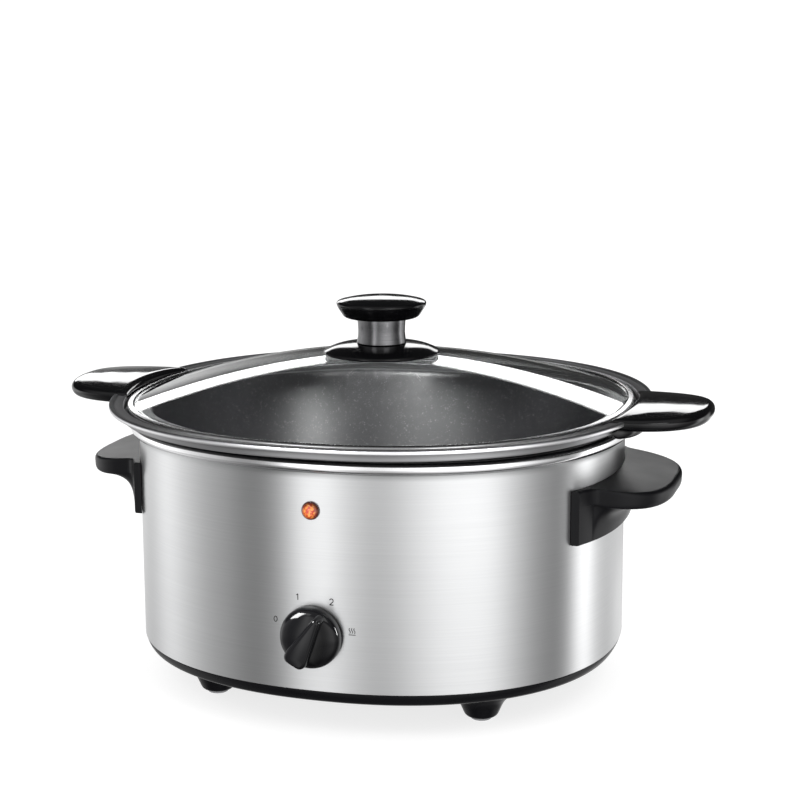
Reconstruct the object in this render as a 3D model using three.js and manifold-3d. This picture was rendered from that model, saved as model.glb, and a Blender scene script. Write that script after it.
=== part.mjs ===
// Oval slow cooker with a lift-out searing pot and a glass lid, built as an assembly of named parts.
// Millimetres, +Z up. The control knob faces -Y, the handles point along X, and z = 0 is the table.
import * as THREE from "three";
import { mergeVertices } from "three/addons/utils/BufferGeometryUtils.js";
import Module from "manifold-3d";

const wasm = await Module();
wasm.setup();

// ---- Driving dimensions ----------------------------------------------------------------------

// Parts that touch are drawn this far apart, so that no two solids share a face.
const GAP = 0.3;

// Every oval is named by its long half-axis. The short half-axis is narrower by a fixed amount,
// so walls, rims and gaps keep one width all the way round. The pot's flange and the lid are
// rounder than the housing.
const OVAL_NARROWING = 14;
const LID_NARROWING = 4;
const OVAL_EXPONENT = 2.2;
const OVAL_SEGMENTS = 48;
const SMALL_OVAL = 100; // below this half-axis the narrowing shrinks in proportion

const WALL = 144; // long half-axis of the steel wall
const SHEET = 1; // thickness of the steel wall
const WALL_BOTTOM = 27.8;
const RIM_CREASE = 151.4;
const RIM_TOP = 158.2;

const TRAY_FLOOR = 18.6;
const FOOT = { x: 80.3, y: 72, padRadius: 6 };

const WELL_FLOOR = 61.5; // upper face of the heating well's floor
const WELL_SHEET = 1.2;

const POT_FLOOR = 64.8; // upper face of the pot's floor
const FLANGE = 159.2; // long half-axis of the pot's flange
const FLANGE_UNDERSIDE = 167.2;
const FLANGE_TOP = 170;
const POT_NECK = 152.6; // long half-axis of the ring that carries the flange
const LEDGE = 164.2; // step inside the flange that the lid rests on
const LEDGE_SHEET = 1.8;
const POT_MOUTH = 136.4; // long half-axis of the ledge's inner edge

const LID_RIM = 148.7;
const GLASS_EDGE = 146.7;
const GLASS_EDGE_TOP = 168.4;
const GLASS_RISE = 26.8; // height of the dome above its edge
const GLASS_CURVE = 1.8; // power of the dome's fall from its crown to its edge
const GLASS_THICKNESS = 2.9;
const GLASS_TOP = GLASS_EDGE_TOP + GLASS_RISE;

const POT_HANDLE = { tip: 197, halfWidth: 46, bottom: 164.2, top: 173.6, lugBottom: 159.6 };
const POT_EAR = { from: 152, to: 176, halfWidth: 12, bottom: 167.4, top: 169.6, screwX: 169 };
const SIDE_HANDLE = { tip: 178, halfWidth: 54, plateHalfWidth: 65, bottom: 102.8, top: 134.2 };
const HANDLE_SCREW = { y: 38, z: 112, from: 134.4, to: 143.4, headRadius: 3.5, shankRadius: 1.9 };

const DIAL_HEIGHT = 59.5;
const DIAL_REST = 29; // degrees that the pointer stands clockwise of straight up
const KNOB_BACK = -131.3; // y of the knob's rear face
const KNOB_RADIUS = 17.3;
const KNOB_DEPTH = 13.9;
const SHAFT_RADIUS = 3;

const LAMP_HEIGHT = 130;
const GLAND_HEIGHT = 44;

// ---- Looks -----------------------------------------------------------------------------------

function look(color, roughness, metalness, opacity = 1) {
  return new THREE.MeshStandardMaterial({
    color,
    roughness,
    metalness,
    opacity,
    transparent: opacity < 1,
  });
}

const LOOKS = {
  brushedSteel: look(0xc4c5c6, 0.32, 1),
  polishedSteel: look(0xd4d5d6, 0.15, 1),
  platedSteel: look(0xa9abad, 0.4, 1),
  aluminium: look(0xb4b6b8, 0.45, 1),
  nonStick: look(0x232325, 0.5, 0.2),
  glossBlack: look(0x0c0c0e, 0.12, 0),
  satinBlack: look(0x1b1b1d, 0.42, 0),
  rubber: look(0x7b7c7e, 0.85, 0),
  clearGlass: look(0xdde6e6, 0.04, 0, 0.3),
  amberLens: look(0xf08a2c, 0.2, 0),
  switchBody: look(0xd8d2c4, 0.6, 0),
  mica: look(0x8f7f63, 0.7, 0),
};

// ---- Shape helpers ---------------------------------------------------------------------------

function ovalShort(long, narrowing) {
  return long - narrowing * Math.min(1, long / SMALL_OVAL);
}

function ovalPoint(long, angle, narrowing) {
  const reach = (value) => Math.sign(value) * Math.abs(value) ** (2 / OVAL_EXPONENT);
  return [long * reach(Math.cos(angle)), ovalShort(long, narrowing) * reach(Math.sin(angle))];
}

// A profile of [radius, height] turned about Z. It closes on itself unless it starts on the axis.
function lathe(profile, segments) {
  const points = profile.map(([radius, height]) => new THREE.Vector2(radius, height));
  if (THREE.ShapeUtils.area(points) < 0) points.reverse();
  if (profile[0][0] > 0) points.push(points[0].clone());
  return new THREE.LatheGeometry(points, segments).rotateX(Math.PI / 2);
}

// The same, with every circle drawn out into an oval whose narrowing may depend on its size.
function ovalLathe(profile, narrowingAt = () => OVAL_NARROWING) {
  const geometry = lathe(profile, OVAL_SEGMENTS);
  const position = geometry.getAttribute("position");
  for (let i = 0; i < position.count; i++) {
    const x = position.getX(i);
    const y = position.getY(i);
    const long = Math.hypot(x, y);
    const [ovalX, ovalY] = ovalPoint(long, Math.atan2(y, x), narrowingAt(long));
    position.setXY(i, ovalX, ovalY);
  }
  return geometry;
}

function lidOvalLathe(profile) {
  return ovalLathe(profile, () => LID_NARROWING);
}

// A flat outline of [x, y] points pushed up from one height to another, with optional rounding.
function extrude(outline, from, to, rounding = 0) {
  const shape = new THREE.Shape(outline.map(([x, y]) => new THREE.Vector2(x, y)));
  const geometry = new THREE.ExtrudeGeometry(shape, {
    depth: to - from - 2 * rounding,
    bevelEnabled: rounding > 0,
    bevelThickness: rounding,
    bevelSize: rounding,
    bevelOffset: -rounding,
    bevelSegments: 2,
  });
  return geometry.translate(0, 0, from + rounding);
}

function box(from, to) {
  const size = to.map((value, axis) => value - from[axis]);
  const middle = to.map((value, axis) => (value + from[axis]) / 2);
  return new THREE.BoxGeometry(...size).translate(...middle);
}

// A rod about the given axis, from one coordinate to another along it.
function rod(axis, radius, from, to, [u, v], segments = 20) {
  const geometry = new THREE.CylinderGeometry(radius, radius, to - from, segments);
  const middle = (from + to) / 2;
  if (axis === "x") return geometry.rotateZ(Math.PI / 2).translate(middle, u, v);
  if (axis === "y") return geometry.translate(u, middle, v);
  return geometry.rotateX(Math.PI / 2).translate(u, v, middle);
}

// Turns a part built around +Z so that it points out of the front wall, along -Y.
function faceFront(geometry, y, z) {
  return geometry.rotateX(Math.PI / 2).translate(0, y, z);
}

function toSolid(geometry) {
  const bare = geometry.clone();
  bare.deleteAttribute("normal");
  bare.deleteAttribute("uv");
  const merged = mergeVertices(bare, 1e-4);
  const mesh = new wasm.Mesh({
    numProp: 3,
    vertProperties: merged.getAttribute("position").array,
    triVerts: new Uint32Array(merged.index.array),
  });
  return new wasm.Manifold(mesh);
}

function toGeometry(solid) {
  const mesh = solid.getMesh();
  const geometry = new THREE.BufferGeometry();
  geometry.setAttribute("position", new THREE.BufferAttribute(mesh.vertProperties, 3));
  geometry.setIndex(new THREE.BufferAttribute(mesh.triVerts, 1));
  geometry.computeVertexNormals();
  return geometry;
}

function combine(operation, first, others) {
  let result = toSolid(first);
  for (const other of others) result = result[operation](toSolid(other));
  return toGeometry(result);
}

const join = (first, ...others) => combine("add", first, others);
const cut = (first, ...others) => combine("subtract", first, others);
const common = (first, ...others) => combine("intersect", first, others);

// ---- Housing ---------------------------------------------------------------------------------

function outerShell() {
  const inside = WALL - SHEET;
  const sheet = ovalLathe([
    [inside, WALL_BOTTOM],
    [WALL, WALL_BOTTOM],
    [WALL, 149],
    [WALL + 0.5, RIM_CREASE],
    [WALL + 4, RIM_CREASE + 0.8],
    [WALL + 5.6, RIM_CREASE + 3.4],
    [WALL + 4.6, RIM_TOP - 1.2],
    [WALL + 1.2, RIM_TOP],
    [WALL - 2.8, RIM_TOP - 0.8],
    [WALL - 4.6, RIM_TOP - 3.2],
    [WALL - 4.6, RIM_TOP - 5.2],
    [WALL - 3.6, RIM_TOP - 5.2],
    [WALL - 3.6, RIM_TOP - 3.6],
    [WALL - 2.2, RIM_TOP - 1.8],
    [WALL + 1.2, RIM_TOP - 1],
    [WALL + 3.7, RIM_TOP - 2],
    [WALL + 4.5, RIM_CREASE + 3.4],
    [WALL + 3.6, RIM_CREASE + 1.8],
    [WALL - 0.4, RIM_CREASE + 0.6],
    [inside, 149],
  ]);
  const holes = [
    rod("y", SHAFT_RADIUS + 1.2, -140, -120, [0, DIAL_HEIGHT]),
    rod("y", 4, -140, -120, [0, LAMP_HEIGHT]),
    rod("y", 6.4, 120, 140, [0, GLAND_HEIGHT], 28),
  ];
  for (const y of [-HANDLE_SCREW.y, HANDLE_SCREW.y]) {
    for (const side of [-1, 1]) {
      const ends = [side * 130, side * 150];
      holes.push(rod("x", 2.4, Math.min(...ends), Math.max(...ends), [y, HANDLE_SCREW.z], 12));
    }
  }
  return cut(sheet, ...holes);
}

function baseTray() {
  const tray = ovalLathe([
    [0, TRAY_FLOOR],
    [134, TRAY_FLOOR],
    [138.5, 19.6],
    [142.2, 22.6],
    [143.7, WALL_BOTTOM - GAP],
    [WALL - SHEET - GAP, WALL_BOTTOM - GAP],
    [WALL - SHEET - GAP, 34],
    [140.2, 34],
    [140.2, 24],
    [136, 21.4],
    [0, 21.4],
  ]);
  const feet = [];
  const pockets = [];
  for (const x of [-FOOT.x, FOOT.x]) {
    for (const y of [-FOOT.y, FOOT.y]) {
      const foot = [[0, 2], [8.2, 2], [9.4, 3.2], [13, 11], [19, 17], [24, 20], [0, 20]];
      const pocket = [[0, 1], [FOOT.padRadius + GAP, 1], [FOOT.padRadius + GAP, 3.5], [0, 3.5]];
      feet.push(lathe(foot, 16).translate(x, y, 0));
      pockets.push(lathe(pocket, 16).translate(x, y, 0));
    }
  }
  return cut(join(tray, ...feet), ...pockets, rod("z", 3, 10, 30, [0, 0]));
}

function footPad(x, y) {
  const radius = FOOT.padRadius;
  const profile = [[0, 0], [radius - 0.8, 0], [radius, 0.8], [radius, 3.2], [0, 3.2]];
  return lathe(profile, 16).translate(x, y, 0);
}

// The clamp that pulls the tray, the shell and the heating well together.
function tieRod() {
  const top = WELL_FLOOR - WELL_SHEET - GAP;
  return lathe([[0, 12], [2.5, 12], [2.5, top - 1.8], [9, top - 1.8], [9, top], [0, top]], 20);
}

function tieNut() {
  const top = TRAY_FLOOR - GAP;
  const hexagon = lathe([[0, 13], [5, 13], [5, top], [0, top]], 6);
  return cut(hexagon, rod("z", 2.8, 10, 20, [0, 0]));
}

// A shelf to lift the cooker by, swept down into a plate that hugs the wall, hollow underneath.
function sideHandle(side) {
  const { tip, halfWidth, plateHalfWidth, bottom, top } = SIDE_HANDLE;
  const profile = [
    [110, top],
    [tip - 24, top - 1.2],
    [tip - 4, top - 3.4],
    [tip - 0.8, top - 5.6],
    [tip, top - 9],
    [tip - 1.6, top - 12.8],
    [tip - 9, top - 14.2],
    [tip - 18, top - 16],
    [tip - 24, top - 20],
    [tip - 27.6, top - 25],
    [tip - 29.6, bottom],
    [110, bottom],
  ];
  const recessProfile = [
    [151.8, 90],
    [151.8, 112],
    [154.5, 120.6],
    [159.5, 125.4],
    [167, 126.6],
    [171, 124.6],
    [172, 90],
  ];
  // Profiles are drawn in x and z, so the extrusion is turned to run along y.
  const sweep = (outline, reach) => extrude(outline, -reach, reach).rotateX(Math.PI / 2);
  const plan = [[110, plateHalfWidth], [110, -plateHalfWidth], [139, -plateHalfWidth]];
  const steps = 20;
  for (let i = 0; i <= steps; i++) {
    const angle = -Math.PI / 2 + (Math.PI * i) / steps;
    const reach = (value) => Math.sign(value) * Math.abs(value) ** (2 / 3);
    const x = 130 + (tip - 130) * reach(Math.cos(angle));
    const y = halfWidth * reach(Math.sin(angle));
    if (x > 143) plan.push([x, y]);
  }
  plan.push([139, plateHalfWidth]);
  const wall = ovalLathe([[0, 90], [WALL + GAP, 90], [WALL + GAP, 145], [0, 145]]);
  const outerSkin = ovalLathe([[0, 90], [WALL + 4.5, 90], [WALL + 4.5, 145], [0, 145]]);
  const shelf = common(sweep(profile, plateHalfWidth), extrude(plan, 95, 140));
  const plate = common(sweep(profile, plateHalfWidth), outerSkin);
  let handle = cut(join(shelf, plate), wall, sweep(recessProfile, 28));
  for (const y of [-HANDLE_SCREW.y, HANDLE_SCREW.y]) {
    const { z, to, shankRadius } = HANDLE_SCREW;
    handle = cut(handle, rod("x", shankRadius + GAP, 130, to + 0.4, [y, z], 12));
  }
  return side > 0 ? handle : handle.rotateZ(Math.PI);
}

// Driven from inside the wall out into the handle.
function handleScrew(side, y) {
  const { z, from, to, headRadius, shankRadius } = HANDLE_SCREW;
  const shoulder = from + 2.5;
  const head = [[0, from], [headRadius, from], [headRadius, shoulder]];
  const profile = [...head, [shankRadius, shoulder], [shankRadius, to], [0, to]];
  const screw = lathe(profile, 12).rotateY(Math.PI / 2).translate(0, 0, z);
  return side > 0 ? screw.translate(0, y, 0) : screw.rotateZ(Math.PI).translate(0, y, 0);
}

function heatingWell() {
  const lipTop = RIM_TOP - 5.2 - GAP;
  const under = WELL_FLOOR - WELL_SHEET;
  return ovalLathe([
    [0, under],
    [116.4, under],
    [127, 64.6],
    [131.1, 73.6],
    [139, lipTop - WELL_SHEET],
    [142.4, lipTop - WELL_SHEET],
    [142.4, lipTop],
    [138.6, lipTop],
    [137.8, lipTop - 1.4],
    [129.9, 74],
    [126.2, 65.6],
    [116, WELL_FLOOR],
    [0, WELL_FLOOR],
  ]);
}

function heatingBand() {
  return ovalLathe([[132.3, 80], [134.9, 106], [137.1, 106], [134.5, 80]]);
}

function thermostat() {
  const top = WELL_FLOOR - WELL_SHEET - GAP;
  const profile = [[0, top - 8], [6, top - 8], [6, top - 2.5], [8, top - 2.5], [8, top], [0, top]];
  return lathe(profile, 20).translate(-34, 10, 0);
}

function thermalFuse() {
  const top = WELL_FLOOR - WELL_SHEET - GAP;
  return rod("x", 2, 28, 42, [-14, top - 2], 14);
}

function rotarySwitch() {
  const body = box([-11, -128, 49], [11, -118.4, 70]);
  return cut(body, rod("y", SHAFT_RADIUS + GAP, -130, -121, [0, DIAL_HEIGHT]));
}

function terminalBlock() {
  const body = box([-17, 74, 21.4 + GAP], [17, 90, 35]);
  const holes = [-10, 0, 10].map((x) => rod("y", 2.2, 70, 95, [x, 29], 12));
  return cut(body, ...holes);
}

function cordGland() {
  const profile = [
    [3.4, 118],
    [5.9, 118],
    [5.9, 130 + GAP],
    [9.6, 130 + GAP],
    [9.6, 132.6],
    [7.4, 135.4],
    [6.2, 139.6],
    [3.4, 139.6],
  ];
  return lathe(profile, 24).rotateX(-Math.PI / 2).translate(0, 0, GLAND_HEIGHT);
}

function glandNut() {
  return lathe([[6.2, 123.6], [9, 123.6], [9, 128.5], [6.2, 128.5]], 12)
    .rotateX(-Math.PI / 2)
    .translate(0, 0, GLAND_HEIGHT);
}

function indicatorLens() {
  const barrel = [[0, -5.5], [3.6, -5.5], [3.6, GAP], [5.1, GAP]];
  const profile = [...barrel, [5.1, 1.2], [4.3, 2.3], [2.4, 3], [0, 3.2]];
  return faceFront(lathe(profile, 20), -130, LAMP_HEIGHT);
}

function lampHolder() {
  const profile = [[3.9, -6.4], [6.4, -6.4], [6.4, -1.6], [3.9, -1.6]];
  return faceFront(lathe(profile, 20), -130, LAMP_HEIGHT);
}

// ---- Dial ------------------------------------------------------------------------------------

// A round base with a grip ridge that is wide at its tail and narrow at its pointer. At rest the
// pointer stands on the third of four settings.
function controlKnob() {
  const baseProfile = [
    [0, 0],
    [KNOB_RADIUS - 0.4, 0],
    [KNOB_RADIUS, 1.4],
    [KNOB_RADIUS - 0.5, 4.6],
    [KNOB_RADIUS - 2.4, 7],
    [11, 8.4],
    [0, 9],
  ];
  const envelopeProfile = [
    [0, 1],
    [KNOB_RADIUS, 1],
    [KNOB_RADIUS, 4],
    [KNOB_RADIUS - 1, 10],
    [KNOB_RADIUS - 2.6, KNOB_DEPTH + 1],
    [0, KNOB_DEPTH + 1],
  ];
  const ridgePlan = [[-2.3, 18], [2.3, 18], [7.2, -13.6], [5.4, -18], [-5.4, -18], [-7.2, -13.6]];
  const ridge = common(extrude(ridgePlan, 1, KNOB_DEPTH, 1.2), lathe(envelopeProfile, 36));
  const bore = rod("z", SHAFT_RADIUS + GAP, -1, 9.4, [0, 0]);
  const knob = cut(join(lathe(baseProfile, 36), ridge), bore);
  knob.rotateZ(-THREE.MathUtils.degToRad(DIAL_REST));
  return faceFront(knob, KNOB_BACK, DIAL_HEIGHT);
}

function switchShaft() {
  return rod("y", SHAFT_RADIUS, KNOB_BACK - 9, -121.4, [0, DIAL_HEIGHT]);
}

// ---- Pot -------------------------------------------------------------------------------------

function pot() {
  const neckUnder = LEDGE - LEDGE_SHEET;
  const profile = [
    [0, POT_FLOOR - 2.6],
    [108, POT_FLOOR - 2.6],
    [119, 65],
    [125.6, 73],
    [127.6, 84],
    [136.2, 154],
    [137.2, neckUnder - 1],
    [139.4, neckUnder],
    [POT_NECK - 1, neckUnder],
    [POT_NECK, neckUnder + 1],
    [POT_NECK, FLANGE_UNDERSIDE],
    [FLANGE - 1, FLANGE_UNDERSIDE],
    [FLANGE, FLANGE_UNDERSIDE + 0.8],
    [FLANGE, FLANGE_TOP - 0.8],
    [FLANGE - 1, FLANGE_TOP],
    [FLANGE - 2.6, FLANGE_TOP],
    [FLANGE - 3.2, FLANGE_TOP - 0.8],
    [FLANGE - 8.2, FLANGE_TOP - 0.8],
    [FLANGE - 8.8, LEDGE],
    [POT_MOUTH, LEDGE],
    [POT_MOUTH - 1.8, LEDGE - 2],
    [125, 84.4],
    [123, 74.4],
    [117, 67.4],
    [107, POT_FLOOR],
    [0, POT_FLOOR],
  ];
  const bowl = ovalLathe(profile, (long) => (long < POT_MOUTH + 4 ? OVAL_NARROWING : LID_NARROWING));
  const { from, to, halfWidth, bottom, top, screwX } = POT_EAR;
  const ears = [
    box([from, -halfWidth, bottom], [to, halfWidth, top]),
    box([-to, -halfWidth, bottom], [-from, halfWidth, top]),
  ];
  const holes = [-screwX, screwX].map((x) => rod("z", 2.2, 160, 175, [x, 0], 12));
  return cut(join(bowl, ...ears), ...holes);
}

// A D-shaped slab that covers the end of the flange and hooks under it.
function potHandle(side) {
  const { tip, halfWidth, bottom, top, lugBottom } = POT_HANDLE;
  const centre = 147;
  const steps = 24;
  const outline = [[125, halfWidth], [125, -halfWidth]];
  for (let i = 0; i <= steps; i++) {
    const angle = -Math.PI / 2 + (Math.PI * i) / steps;
    const reach = (value) => Math.sign(value) * Math.abs(value) ** (2 / 2.5);
    const x = centre + (tip - centre) * reach(Math.cos(angle));
    outline.push([x, halfWidth * reach(Math.sin(angle))]);
  }
  const slab = extrude(outline, bottom, top, 2.6);
  const lugOuter = lidOvalLathe([[0, lugBottom], [162, lugBottom], [165, bottom + 3], [0, bottom + 3]]);
  const lug = common(extrude(outline, lugBottom, bottom + 3), lugOuter);
  const clearOval = (long, from, to) => lidOvalLathe([[0, from], [long, from], [long, to], [0, to]]);
  const neckClearance = clearOval(POT_NECK + 2 * GAP, 150, FLANGE_UNDERSIDE);
  const lidClearance = clearOval(LID_RIM + 1.6, 150, 180);
  const flangeClearance = clearOval(FLANGE + 2 * GAP, FLANGE_UNDERSIDE - GAP, FLANGE_TOP + GAP);
  const ear = POT_EAR;
  const earClearance = box(
    [140, -ear.halfWidth - GAP, 155],
    [ear.to + GAP, ear.halfWidth + GAP, ear.top + GAP],
  );
  const screwHole = rod("z", 2.2, 160, 172, [ear.screwX, 0], 12);
  const clearances = [neckClearance, lidClearance, flangeClearance, earClearance];
  const handle = cut(join(slab, lug), ...clearances, screwHole);
  return side > 0 ? handle : handle.rotateZ(Math.PI);
}

function potHandleScrew(side) {
  const head = POT_EAR.bottom - GAP;
  const end = 171.5;
  const profile = [[0, head - 2], [3.6, head - 2], [3.6, head], [1.9, head], [1.9, end], [0, end]];
  return lathe(profile, 12).translate(side * POT_EAR.screwX, 0, 0);
}

// ---- Lid -------------------------------------------------------------------------------------

function glassHeight(long) {
  return GLASS_TOP - GLASS_RISE * (long / GLASS_EDGE) ** GLASS_CURVE;
}

function lidGlass() {
  const stations = [GLASS_EDGE, 126, 100, 72, 44, 20, 4.5];
  const outside = stations.map((long) => [long, glassHeight(long)]);
  const inside = stations.map((long) => [long, glassHeight(long) - GLASS_THICKNESS]).reverse();
  return lidOvalLathe([...outside, ...inside]);
}

function lidRim() {
  const bottom = LEDGE + GAP;
  const bedTop = bottom + 0.7;
  return lidOvalLathe([
    [LID_RIM - 4.9, bottom],
    [LID_RIM, bottom],
    [LID_RIM, GLASS_EDGE_TOP + 0.1],
    [LID_RIM - 0.9, GLASS_EDGE_TOP + 1],
    [LID_RIM - 3.3, GLASS_EDGE_TOP + 1.5],
    [LID_RIM - 3.3, GLASS_EDGE_TOP + 0.9],
    [GLASS_EDGE + GAP, GLASS_EDGE_TOP + 0.4],
    [GLASS_EDGE + GAP, bedTop],
    [LID_RIM - 4.9, bedTop],
  ]);
}

function lidKnobWasher() {
  const under = GLASS_TOP + 0.4;
  const top = GLASS_TOP + 1;
  return lathe([[4.5, under], [26, under], [26, top], [4.5, top]], 32);
}

function lidKnobBase() {
  const under = GLASS_TOP + 1 + GAP;
  return lathe(
    [
      [3.2, under],
      [26.4, under],
      [26.4, GLASS_TOP - 0.2],
      [33.6, GLASS_TOP - 0.8],
      [34.6, GLASS_TOP],
      [34.2, GLASS_TOP + 1],
      [29, GLASS_TOP + 3.2],
      [22, GLASS_TOP + 4.6],
      [15.4, GLASS_TOP + 5.4],
      [3.2, GLASS_TOP + 5.4],
    ],
    36,
  );
}

const NECK_BOTTOM = GLASS_TOP + 5.4 + GAP;
const NECK_TOP = NECK_BOTTOM + 15;

function lidKnobNeck() {
  return lathe([[3.2, NECK_BOTTOM], [14.7, NECK_BOTTOM], [14.4, NECK_TOP], [3.2, NECK_TOP]], 28);
}

function lidKnobCap() {
  const bottom = NECK_TOP + GAP;
  return lathe(
    [
      [0, bottom + 7],
      [3.2, bottom + 7],
      [3.2, bottom],
      [21, bottom],
      [22.6, bottom + 1],
      [25.6, bottom + 5.6],
      [26.8, bottom + 8.2],
      [26.5, bottom + 9.4],
      [21, bottom + 11],
      [12, bottom + 12.2],
      [0, bottom + 12.7],
    ],
    36,
  );
}

// Runs up through the glass into the cap, with its head on the inside of the glass.
function lidKnobScrew() {
  const head = GLASS_TOP - GLASS_THICKNESS - 0.4;
  const end = NECK_TOP + 6;
  const headProfile = [[0, head - 2.6], [6.5, head - 2.6], [7, head - 1.6], [7, head]];
  return lathe([...headProfile, [2.6, head], [2.6, end], [0, end]], 20);
}

// ---- Assembly --------------------------------------------------------------------------------

const cooker = new THREE.Group();
cooker.name = "slow_cooker";

function group(name) {
  const part = new THREE.Group();
  part.name = name;
  cooker.add(part);
  return part;
}

function add(parent, name, geometry, material) {
  const mesh = new THREE.Mesh(geometry, material);
  mesh.name = name;
  parent.add(mesh);
}

const housing = group("housing");
add(housing, "outer_shell", outerShell(), LOOKS.brushedSteel);
add(housing, "base_tray", baseTray(), LOOKS.satinBlack);
add(housing, "tie_rod", tieRod(), LOOKS.platedSteel);
add(housing, "tie_nut", tieNut(), LOOKS.platedSteel);
for (const [row, y] of [["front", -FOOT.y], ["rear", FOOT.y]]) {
  for (const [end, x] of [["left", -FOOT.x], ["right", FOOT.x]]) {
    add(housing, `foot_pad_${row}_${end}`, footPad(x, y), LOOKS.rubber);
  }
}
for (const [end, side] of [["left", -1], ["right", 1]]) {
  add(housing, `side_handle_${end}`, sideHandle(side), LOOKS.satinBlack);
  add(housing, `handle_screw_${end}_front`, handleScrew(side, -HANDLE_SCREW.y), LOOKS.platedSteel);
  add(housing, `handle_screw_${end}_rear`, handleScrew(side, HANDLE_SCREW.y), LOOKS.platedSteel);
}
add(housing, "heating_well", heatingWell(), LOOKS.aluminium);
add(housing, "heating_band", heatingBand(), LOOKS.mica);
add(housing, "thermostat", thermostat(), LOOKS.platedSteel);
add(housing, "thermal_fuse", thermalFuse(), LOOKS.switchBody);
add(housing, "rotary_switch", rotarySwitch(), LOOKS.switchBody);
add(housing, "terminal_block", terminalBlock(), LOOKS.switchBody);
add(housing, "cord_gland", cordGland(), LOOKS.satinBlack);
add(housing, "gland_nut", glandNut(), LOOKS.satinBlack);
add(housing, "indicator_lens", indicatorLens(), LOOKS.amberLens);
add(housing, "lamp_holder", lampHolder(), LOOKS.switchBody);

const dial = group("dial");
add(dial, "control_knob", controlKnob(), LOOKS.glossBlack);
add(dial, "switch_shaft", switchShaft(), LOOKS.platedSteel);

const searingPot = group("searing_pot");
add(searingPot, "pot", pot(), LOOKS.nonStick);
for (const [end, side] of [["left", -1], ["right", 1]]) {
  add(searingPot, `pot_handle_${end}`, potHandle(side), LOOKS.glossBlack);
  add(searingPot, `pot_handle_screw_${end}`, potHandleScrew(side), LOOKS.platedSteel);
}

const lid = group("lid");
add(lid, "lid_glass", lidGlass(), LOOKS.clearGlass);
add(lid, "lid_rim", lidRim(), LOOKS.polishedSteel);
add(lid, "lid_knob_washer", lidKnobWasher(), LOOKS.polishedSteel);
add(lid, "lid_knob_base", lidKnobBase(), LOOKS.glossBlack);
add(lid, "lid_knob_neck", lidKnobNeck(), LOOKS.brushedSteel);
add(lid, "lid_knob_cap", lidKnobCap(), LOOKS.glossBlack);
add(lid, "lid_knob_screw", lidKnobScrew(), LOOKS.platedSteel);

export default cooker;
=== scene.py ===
# Oval slow cooker with a lift-out pot and a glass lid, dressed in fine surfaces and materials around
# its CAD frame. Blender works in metres; outlines here are drawn in millimetres and scaled once,
# where a mesh is made. The control knob faces -Y and the handles point along X.
import math

import bmesh
import bpy
from mathutils import Matrix, Vector


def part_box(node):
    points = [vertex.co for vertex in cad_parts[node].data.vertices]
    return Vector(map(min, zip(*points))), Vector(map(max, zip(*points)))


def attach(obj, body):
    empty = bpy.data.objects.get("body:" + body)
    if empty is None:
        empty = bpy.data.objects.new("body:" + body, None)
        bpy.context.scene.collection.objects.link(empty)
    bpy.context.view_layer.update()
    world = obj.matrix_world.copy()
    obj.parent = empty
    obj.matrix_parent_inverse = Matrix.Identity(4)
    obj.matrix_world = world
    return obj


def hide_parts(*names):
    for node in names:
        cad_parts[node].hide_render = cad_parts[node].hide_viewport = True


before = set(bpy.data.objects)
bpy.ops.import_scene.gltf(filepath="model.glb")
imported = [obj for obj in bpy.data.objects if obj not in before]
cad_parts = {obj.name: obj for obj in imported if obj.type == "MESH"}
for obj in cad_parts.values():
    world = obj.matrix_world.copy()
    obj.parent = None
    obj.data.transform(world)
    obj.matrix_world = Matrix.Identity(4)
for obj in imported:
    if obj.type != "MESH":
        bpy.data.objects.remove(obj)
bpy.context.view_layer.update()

MM = 0.001


def corners(node):
    """Lowest and highest corner of a CAD node, in millimetres."""
    low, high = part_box(node)
    return Vector(low) / MM, Vector(high) / MM


# ---- Driving dimensions, from the frame ----

OVAL_NARROWING = 14.0  # how much shorter the oval's short half-axis is than its long one
LID_NARROWING = 4.0  # the pot's flange and the lid are rounder than the housing
OVAL_EXPONENT = 2.2
SMALL_OVAL = 100.0  # smaller ovals narrow in proportion

shell_low, shell_high = corners("outer_shell")
RIM_ROLL = 5.6  # how far the rim stands out from the wall
RIM_HEIGHT = 6.8
WALL = shell_high.x - RIM_ROLL
WALL_BOTTOM = shell_low.z
RIM_TOP = shell_high.z
RIM_CREASE = RIM_TOP - RIM_HEIGHT
WALL_SHEET = 1.0

tray_low, tray_high = corners("base_tray")
FOOT_BOTTOM = tray_low.z
pad_low, pad_high = corners("foot_pad_front_right")
PAD_CENTRE = (pad_low + pad_high) / 2
PAD_RADIUS = (pad_high.x - pad_low.x) / 2

well_low, well_high = corners("heating_well")

pot_low, pot_high = corners("pot")
POT_SHEET = 2.6
FLANGE_THICKNESS = 2.8
LEDGE_DEPTH = 5.8  # the lid sits this far below the top of the flange
LEDGE_SHEET = 1.8
NECK_INSET = 6.6
MOUTH_INSET = 22.6
MOUTH_ROLL = 2.0  # the width over which the mouth rolls into the ledge
FLANGE = pot_high.y + LID_NARROWING
FLANGE_TOP = pot_high.z
FLANGE_UNDERSIDE = FLANGE_TOP - FLANGE_THICKNESS
LEDGE = FLANGE_TOP - LEDGE_DEPTH
NECK_UNDER = LEDGE - LEDGE_SHEET
POT_NECK = FLANGE - NECK_INSET
POT_MOUTH = FLANGE - MOUTH_INSET
POT_FLOOR = pot_low.z + POT_SHEET

grip_low, grip_high = corners("pot_handle_right")
GRIP_LIP = 3.0  # the grip's slab reaches this far below the flange
GRIP_UNDER = FLANGE_UNDERSIDE - GRIP_LIP
side_low, side_high = corners("side_handle_right")

rim_low, rim_high = corners("lid_rim")
LID_RIM = rim_high.x
_, glass_high = corners("lid_glass")
GLASS_EDGE = glass_high.x
GLASS_TOP = glass_high.z
GLASS_THICKNESS = 2.9
GLASS_RISE = 26.8
GLASS_CURVE = 1.8  # 2 would be a parabola

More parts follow.
